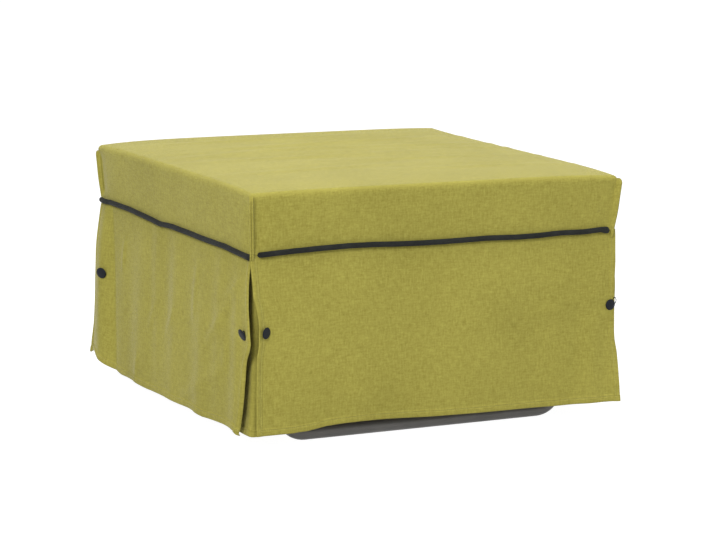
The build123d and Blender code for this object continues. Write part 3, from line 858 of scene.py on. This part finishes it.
# Factors for each wall, and the flare's reach in metres at the wall's left end, middle and right end.
fold_depth = {"front": 1.1, "left": 1.75, "back": 1.4, "right": 1.4}
calm = {"front": 0.6, "left": 1.2, "back": 1.2, "right": 1.2}
flare_reach = {"front": (0.006, 0.003, 0.015), "left": (0.003, 0.002, 0.010), "back": (0.008, 0.004, 0.010),
               "right": (0.018, 0.003, 0.010)}
flare_heights = (0.020, 0.059, 0.098, 0.137, 0.165, 0.2, 0.26)
flare_shares = (1.0, 0.88, 0.58, 0.30, 0.12, 0.03, 0.0)
hem_rows = (0, 0.0006, 0.0012, 0.0018, 0.0024, 0.004, 0.006, 0.008, 0.0095, 0.0108, 0.012, 0.0134, 0.016,
            0.020)
side_steps = (0, 0.0006, 0.0012, 0.0018, 0.0024, 0.0036, 0.0055, 0.0075, 0.0088, 0.0098, 0.0108, 0.0122,
              0.0145, 0.018)


def graded(length, edge_steps, middle_steps):
    """Places along a length, close together near both ends."""
    ends = np.array(edge_steps[:-1])
    middle = np.linspace(edge_steps[-1], length - edge_steps[-1], middle_steps)
    return np.concatenate([ends, middle, length - ends[::-1]])


def on_wall(face, s, out, z):
    """Places from the distance along a wall, the distance out of it and the height."""
    (ax, ay), (ox, oy), _, wall = faces[face]
    return np.column_stack([ax * s + ox * (wall + out), ay * s + oy * (wall + out), z])


def hem_swell(distance, width):
    """Height of a turned hem over the cloth by the distance from its edge, with a dip at its stitches."""
    lift = hem_thickness * (1 - step_up(distance, width, width + hem_thickness))
    dip = stitch_dip * np.exp(-((distance - (width - stitch_inset)) / 0.0008) ** 2)
    inside = np.clip(turned_edge - distance, 0, turned_edge)
    return lift - dip - (turned_edge - np.sqrt(turned_edge ** 2 - inside ** 2))


def back_fold(s, down):
    """The big fold at the left wall's back end: a soft crest that drops steeply to a crease."""
    high = np.interp(down, (0, 0.12, 0.5, 1), (0.0030, 0.0070, 0.0130, 0.0140))
    crest = np.interp(down, (0, 1), (-0.310, -0.304))
    crease = np.interp(down, (0, 0.3, 1), (-0.290, -0.272, -0.258))
    fall = np.clip((s - crest) / (crease - crest), 0, 1) ** 1.5
    beyond = 0.4 * (1 - np.exp(-np.clip(s - crease, 0, 1) / 0.05))
    return high * (step_up(s, -0.374, crest) - 1.4 * fall + beyond)


def skirt_form(face, s, z):
    """How far the skirt stands out from the wall's plane at a place along it and a height."""
    (ax, ay), (ox, oy), reach, wall = faces[face]
    down = np.clip((skirt_top - z) / drop, 0, 1)
    out = np.zeros_like(s)
    for at, left, right, high, middle, low in np.array(folds[face]) / 1000:
        drift = at + 0.006 * np.sin(down * 3 + at * 40)
        amount = np.interp(down, (0, 0.12, 0.5, 1), (0.4 * high, high, middle, low))
        t = (s - drift) / np.where(s < at, left, right)
        out += fold_depth[face] * amount * (np.exp(-t ** 2) - 0.3 * np.exp(-((np.abs(t) - 2.1) / 0.9) ** 2))
    for s0, z0, s1, z1, width, high in np.array(creases[face]) / 1000:
        run = math.hypot(s1 - s0, z1 - z0)
        u = ((s - s0) * (s1 - s0) + (z - z0) * (z1 - z0)) / run
        v = ((z - z0) * (s1 - s0) - (s - s0) * (z1 - z0)) / run
        ends = step_up(u, -0.02, 0.02) * (1 - step_up(u, run - 0.02, run + 0.02))
        out += fold_depth[face] * high * np.exp(-(v / width) ** 2) * ends
    if face == "left":
        out += back_fold(s, down)
    seed = 3.7 * list(faces).index(face)
    slow = noise_at(s * 4.5 + seed, z * 3.5, seed)
    fine = noise_at(s * 17 + seed, z * 8, seed + 5)
    out += (slow * slow_waves + fine * fine_waves) * calm[face] * np.clip(down * 3, 0, 1)
    at_left, at_middle, at_right = flare_reach[face]
    flare = at_middle + (np.where(s < 0, at_left, at_right) - at_middle) * np.abs(s / reach) ** 7
    out += flare * np.interp(z, flare_heights, flare_shares)
    drawn_in = pinch(ax * s + ox * wall, ay * s + oy * wall)[0 if ox else 1]
    return out - drawn_in * step_up(z, 0.245, seam_level)


skirt_finish = {}
for face in faces:
    reach = faces[face][2]
    length = 2 * reach
    if length not in skirt_finish:
        stitch_lines = ((0, hem_strip - stitch_inset), (0, length - hem_strip + stitch_inset),
                        (1, bottom_hem - stitch_inset))
        kind = "long" if length == 2 * half_w else "short"
        skirt_finish[length] = canvas_finish(f"lime_canvas_hemmed_{kind}", stitch_lines)
    panel, across, along = cloth_grid(f"cover_skirt_panel_{face}", graded(length, side_steps, 150),
                                      np.concatenate([hem_rows, np.linspace(0.024, drop, 74)]))
    z = hem_level + along
    left_edge = -reach + table_value(z, flap_gaps[face][0])
    right_edge = reach - table_value(z, flap_gaps[face][1])
    left_half = across < length / 2
    s = left_edge + (right_edge - left_edge) * across / length
    near_edge = np.minimum(across, length - across)
    true_width = np.exp(-near_edge / 0.03)
    s += (np.where(left_half, left_edge + across, right_edge - (length - across)) - s) * true_width
    form = skirt_form(face, s, z)
    form += hem_swell(near_edge, hem_strip) * step_up(seam_level - z, -0.002, 0.02)
    form += hem_swell(along, bottom_hem)
    turned = np.where(left_half, *(table_value(z, table) for table in edge_turns[face]))
    form += turned * np.clip(1 - near_edge / turned_strip, 0, 1) ** 2
    form -= top_tuck * step_up(along, drop - 0.012, drop - 0.003)
    place_z = z + table_value(s, hem_height[face]) * (1 - along / drop) ** 1.5
    place_z += table_value(s, piping_wave[face]) * (along / drop) ** 6
    move_corners(panel, on_wall(face, s, form, place_z))
    set_cloth_map(panel, across, along)
    give_thickness(panel, cloth_thickness)
    smooth(panel, 50)
    paint(skirt_finish[length], panel.name)
    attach(panel, "cover")
    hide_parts(f"cover_skirt_{face}")

# Cover, piping: a fat dark cord in its own cloth, sewn into the seam between the walls and the skirts.
# There is one run on each side. It rides in slow waves and stops just short of the corners.
piping_radius = 0.0050
piping_stand = 0.0036
piping_ends = {"front": (0.0165, 0.0175), "back": (0.017, 0.016), "left": (0.014, 0.0030),
               "right": (0.007, 0.008)}
piping_end_swell = {"front": 0.28, "back": 0.1, "left": 0.1, "right": 0.1}
piping_wobble = 0.0006
piping_steps = (0, 0.0006, 0.0016, 0.003, 0.005, 0.009)
piping_dark = (0.0080, 0.0088, 0.0082)
piping_light = (0.0235, 0.0260, 0.0228)
piping_finish, tree, shader = new_finish("navy_piping", roughness=0.88)
place = object_place(tree)
on_bias = add_node(tree, "Mapping", {"Vector": cloth_metres(tree), "Rotation": (0, 0, math.radians(45))})[0]
weave = add_group(tree, plain_weave, {"Cloth": on_bias, "Yarn": 0.0009})
lint = noise_value(tree, place, 300, 3, 0.6)
rub = noise_value(tree, place, 24, 3, 0.6)
worn = maths(tree, "ADD", between(tree, lint, 0.35, 0.8, 0, 0.6), between(tree, rub, 0.4, 0.7, 0, 0.5),
             clamp=True)
feed(tree, shader, {"Base Color": two_colours(tree, worn, piping_dark, piping_light), "Sheen Weight": 0.02,
                    "Specular IOR Level": 0.2})
raise_surface(tree, shader, weave["Height"], 0.4, 0.0004)
for face in faces:
    reach, wall = faces[face][2:]
    start, end = piping_ends[face]
    run = 2 * reach - start - end
    cord, across, around = cloth_grid(f"cover_piping_run_{face}", graded(run, piping_steps, 130),
                                      np.linspace(0, 1, 17))
    turn = around * 2 * math.pi
    s = across - reach + start
    from_end = np.minimum(across, run - across)
    thick = piping_radius * np.sqrt(1 - (1 - np.clip(from_end / 0.0045, 0, 1)) ** 2)
    thick *= 1 + piping_end_swell[face] * np.exp(-((run - across - 0.007) / 0.009) ** 2)
    stand = skirt_form(face, s, np.full_like(s, seam_level)) + piping_stand
    stand += noise_at(s * 30, 2.0 + wall * 50, 0) * piping_wobble - 0.003 * np.exp(-from_end / 0.004)
    level = seam_level + table_value(s, piping_wave[face])
    move_corners(cord, on_wall(face, s, stand + thick * np.cos(turn), level + thick * np.sin(turn)))
    set_cloth_map(cord, across, turn * piping_radius)
    close_up(cord, 0.00002)
    smooth(cord, 70)
    paint(piping_finish, cord.name)
    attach(cord, "cover")
    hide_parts(f"cover_piping_{face}")

# Cover, kick pleats: a folded panel of the same canvas behind each corner's open flaps.
# It is sewn in at the corner seam, hangs just inside the flaps, and ends level with them at the hem.
pleat_arm = 0.062
pleat_bend = 0.0065
pleat_arc = 0.0083
pleat_thickness = 0.0018
pleat_ripple = 0.0016
pleat_lift = {"front_left": -0.0025, "back_left": 0.016, "front_right": 0.004, "back_right": 0.0}
pleat_columns = np.concatenate([np.linspace(-pleat_arm, -0.008, 16), np.linspace(-pleat_bend, pleat_bend, 9),
                                np.linspace(0.008, pleat_arm, 16)])
pleat_rows = (0, 0.0008, 0.0016, 0.0024, 0.005, 0.009, 0.0108, 0.012, 0.0134)
for name, (sx, sy) in corners.items():
    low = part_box(f"cover_pleat_{name}")[0].z - 0.0055
    high = seam_low + 0.004
    panel, across, along = cloth_grid(f"cover_pleat_panel_{name}", pleat_columns,
                                      np.concatenate([pleat_rows, np.linspace(0.018, high - low, 44)]))
    z = low + along
    down = (high - z) / (high - low)
    inset = np.interp(down, (0, 0.06, 0.2, 0.45, 0.75, 1), (0.0050, 0.0095, 0.0145, 0.0160, 0.0160, 0.0155))
    inset += cloth_thickness - np.interp(z, (0.02, 0.05, 0.1, 0.16), (0.0045, 0.0035, 0.0015, 0.0))
    angle = np.clip(across / pleat_bend, -1, 1) * math.pi / 4
    x_in = pleat_arc * (1 - np.cos(math.pi / 4 + angle)) + np.maximum(across - pleat_bend, 0)
    y_in = pleat_arc * (1 - np.cos(math.pi / 4 - angle)) + np.maximum(-across - pleat_bend, 0)
    ripple = noise_at(across * 20 + sx, z * 7 + sy * 4, 9) * pleat_ripple * down
    ripple += hem_swell(along, bottom_hem)
    move_corners(panel, np.column_stack([sx * (half_w - inset - x_in + ripple * (across < 0)),
                                         sy * (half_d - inset - y_in + ripple * (across >= 0)),
                                         z + pleat_lift[name] * down ** 3]))
    set_cloth_map(panel, across + pleat_arm, along)
    give_thickness(panel, pleat_thickness, -1 if sx * sy > 0 else 1)
    close_up(panel, 0.00001)
    smooth(panel, 50)
    paint(canvas, panel.name)
    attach(panel, "cover")
    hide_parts(f"cover_pleat_{name}")

# Cover, buttons: domed and covered in smooth navy cloth, two at each corner on the open flaps.
# Each is sewn through the canvas, lies a little askew, and has a short loop of thread at its outer side.
button_radius = 0.0102
button_dome = 0.0034
button_back = 0.0016
button_navy = (0.0060, 0.0076, 0.0110)
button_worn = (0.0130, 0.0155, 0.0220)
loop_radius = 0.0046
loop_thread = 0.0008
button_finish, tree, shader = new_finish("navy_button", roughness=0.6)
place = object_place(tree)
scuff = noise_value(tree, place, 90, 4, 0.65)
threads = noise_value(tree, place, 1500, 1, 0.5)
scuffed = two_colours(tree, between(tree, scuff, 0.45, 0.8), button_navy, button_worn)
feed(tree, shader, {"Base Color": scuffed, "Roughness": between(tree, scuff, 0.3, 0.7, 0.5, 0.7),
                    "Specular IOR Level": 0.16})
raise_surface(tree, shader, threads, 0.2, 0.0002)
# Each button: its wall and end, its distance from the corner and its height, then its turn in its plane,
# to the side and downwards in degrees, and how far its loop shows.
button_places = (
    ("front", -1, 0.0325, 0.2140, -4, -34, 3, 0.0), ("front", 1, 0.0105, 0.2150, 3, 0, 4, 1.0),
    ("left", 1, 0.0215, 0.2088, 0, -6, 24, 0.0), ("left", -1, 0.062, 0.2150, 0, -32, 6, 0.0),
    ("back", -1, 0.035, 0.213, 0, 0, 5, 0.7), ("back", 1, 0.035, 0.214, 5, 6, 6, 0.5),
    ("right", -1, 0.035, 0.213, -8, 0, 5, 0.6), ("right", 1, 0.035, 0.212, 6, 8, 7, 0.8))
for face, end, inset, z, *turns, shows in button_places:
    s = end * (faces[face][2] - inset)
    outside = float(skirt_form(face, np.array([s]), np.array([z]))[0])
    label = f"{face}_{'left' if end < 0 else 'right'}"
    turn, side_slope, down_slope = (math.radians(angle) for angle in turns)
    side_slope, down_slope = math.sin(side_slope), math.sin(down_slope)
    select_only()
    bpy.ops.mesh.primitive_uv_sphere_add(segments=36, ring_count=20, radius=1, location=(0, 0, 0))
    button = just_added(f"cover_button_{label}")
    bx, by, bz = corners_of(button).T
    flat = np.hypot(bx, by)
    full = np.where(flat > 1e-6, np.minimum(1, flat ** 0.8) / np.maximum(flat, 1e-6), 1) * button_radius
    bx, by = bx * full, by * full * 1.04
    u, v = bx * math.cos(turn) - by * math.sin(turn), bx * math.sin(turn) + by * math.cos(turn)
    rise = np.where(bz > 0, button_dome * np.abs(bz) ** 0.9, -button_back * np.abs(bz))
    clear = button_back * 0.6 + (abs(side_slope) + abs(down_slope)) * button_radius * 0.55
    lift = rise + clear + v * down_slope + u * side_slope
    move_corners(button, on_wall(face, s + u, outside + lift, z + v))
    close_up(button, 0.00002)
    smooth(button, 60)
    select_only()
    bpy.ops.mesh.primitive_torus_add(major_segments=28, minor_segments=8, major_radius=loop_radius,
                                     minor_radius=loop_thread)
    loop = just_added(f"button_loop_{label}")
    lx, ly, lz = corners_of(loop).T
    u = lx * 0.8 + end * 0.009 * shows
    v = ly * 1.3 + 0.001 + 0.0065 * shows
    move_corners(loop, on_wall(face, s + u, outside + lz + 0.0012, z + v))
    close_up(loop, 0.00001)
    smooth(loop, 60)
    for piece in (button, loop):
        paint(button_finish if piece is button else piping_finish, piece.name)
        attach(piece, "cover")
    set_cloth_map(loop, lx, ly)
    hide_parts("cover_buttons")

# Floor of the picture: a plain pale studio floor, seen nearly white by the camera.
# Its glow reaches only the camera and glossy surfaces, so it lights nothing else.
floor_glow = 0.98


def seen_directly(tree, rays):
    """1 for rays from the camera or off a glossy surface, and 0 for others."""
    return maths(tree, "ADD", rays["Is Camera Ray"], rays["Is Glossy Ray"], clamp=True)


floor_finish, tree, shader = new_finish("studio_floor", roughness=0.9)
rays = tree.nodes.new("ShaderNodeLightPath").outputs
grain = noise_value(tree, object_place(tree), 3, 2, 0.5)
pale = two_colours(tree, grain, (0.56, 0.56, 0.56), (0.58, 0.58, 0.58))
feed(tree, shader, {"Base Color": two_colours(tree, rays["Is Camera Ray"], pale, (0.22, 0.22, 0.22)),
                    "Specular IOR Level": 0.0})
strength = maths(tree, "MULTIPLY", seen_directly(tree, rays), floor_glow)
glow = add_node(tree, "Emission", {"Color": (1, 1, 1, 1), "Strength": strength})
both = add_node(tree, "AddShader", {0: shader.outputs["BSDF"], 1: glow["Emission"]})
feed(tree, next(node for node in tree.nodes if node.type == "OUTPUT_MATERIAL"), {"Surface": both["Shader"]})
select_only()
bpy.ops.mesh.primitive_grid_add(x_subdivisions=8, y_subdivisions=8, size=60, location=(0, 0, 0))
floor = just_added("studio_floor")
floor.data.materials.append(floor_finish)

# Light of the picture: a wide soft lamp from the front left, a larger one overhead, and a weak one from
# the right, in an even pale surround.
ambient = 0.38
lamps = (("key", (-3.5, -3.1, 3.0), 1.4, 152), ("overhead", (0.1, 0.15, 4.0), 3.6, 122),
         ("fill", (3.0, -3.2, 2.0), 2.6, 36))
aim = Vector((0, 0, 0.25))
world = bpy.data.worlds.new("studio")
bpy.context.scene.world = world
world.use_nodes = True
tree = world.node_tree
tree.nodes.clear()
output = tree.nodes.new("ShaderNodeOutputWorld")
directly = seen_directly(tree, tree.nodes.new("ShaderNodeLightPath").outputs)
strength = maths(tree, "ADD", maths(tree, "MULTIPLY", directly, 1 - ambient), ambient)
glow = add_node(tree, "Background", {"Color": (1, 1, 1, 1), "Strength": strength})
feed(tree, output, {"Surface": glow["Background"]})
for name, place, size, power in lamps:
    lamp_data = bpy.data.lights.new(name, "AREA")
    lamp_data.shape = "SQUARE"
    lamp_data.size = size
    lamp_data.energy = power
    lamp = bpy.data.objects.new(name, lamp_data)
    bpy.context.scene.collection.objects.link(lamp)
    lamp.location = place
    lamp.rotation_euler = (aim - Vector(place)).to_track_quat("-Z", "Y").to_euler()

# Camera of the picture: level with a standing viewer, from the front left, a long lens and a slight roll.
camera_place = Vector((-2.2940, -4.3807, 1.1201))
azimuth, elevation, roll = (math.radians(v) for v in (-27.85, 10.03, 1.24))
back = Vector((math.sin(azimuth) * math.cos(elevation), -math.cos(azimuth) * math.cos(elevation),
               math.sin(elevation)))
level = Vector((0, 0, 1)).cross(back).normalized()
upward = back.cross(level)
across = math.cos(roll) * level + math.sin(roll) * upward
upward = -math.sin(roll) * level + math.cos(roll) * upward
camera_data = bpy.data.cameras.new("camera")
camera_data.lens = 130.1
camera_data.sensor_width = 36
camera = bpy.data.objects.new("camera", camera_data)
bpy.context.scene.collection.objects.link(camera)
camera.rotation_mode = "QUATERNION"
camera.location = camera_place
camera.rotation_quaternion = Matrix((across, upward, back)).transposed().to_quaternion()
bpy.context.scene.camera = camera
bpy.context.scene.view_settings.view_transform = "Standard"
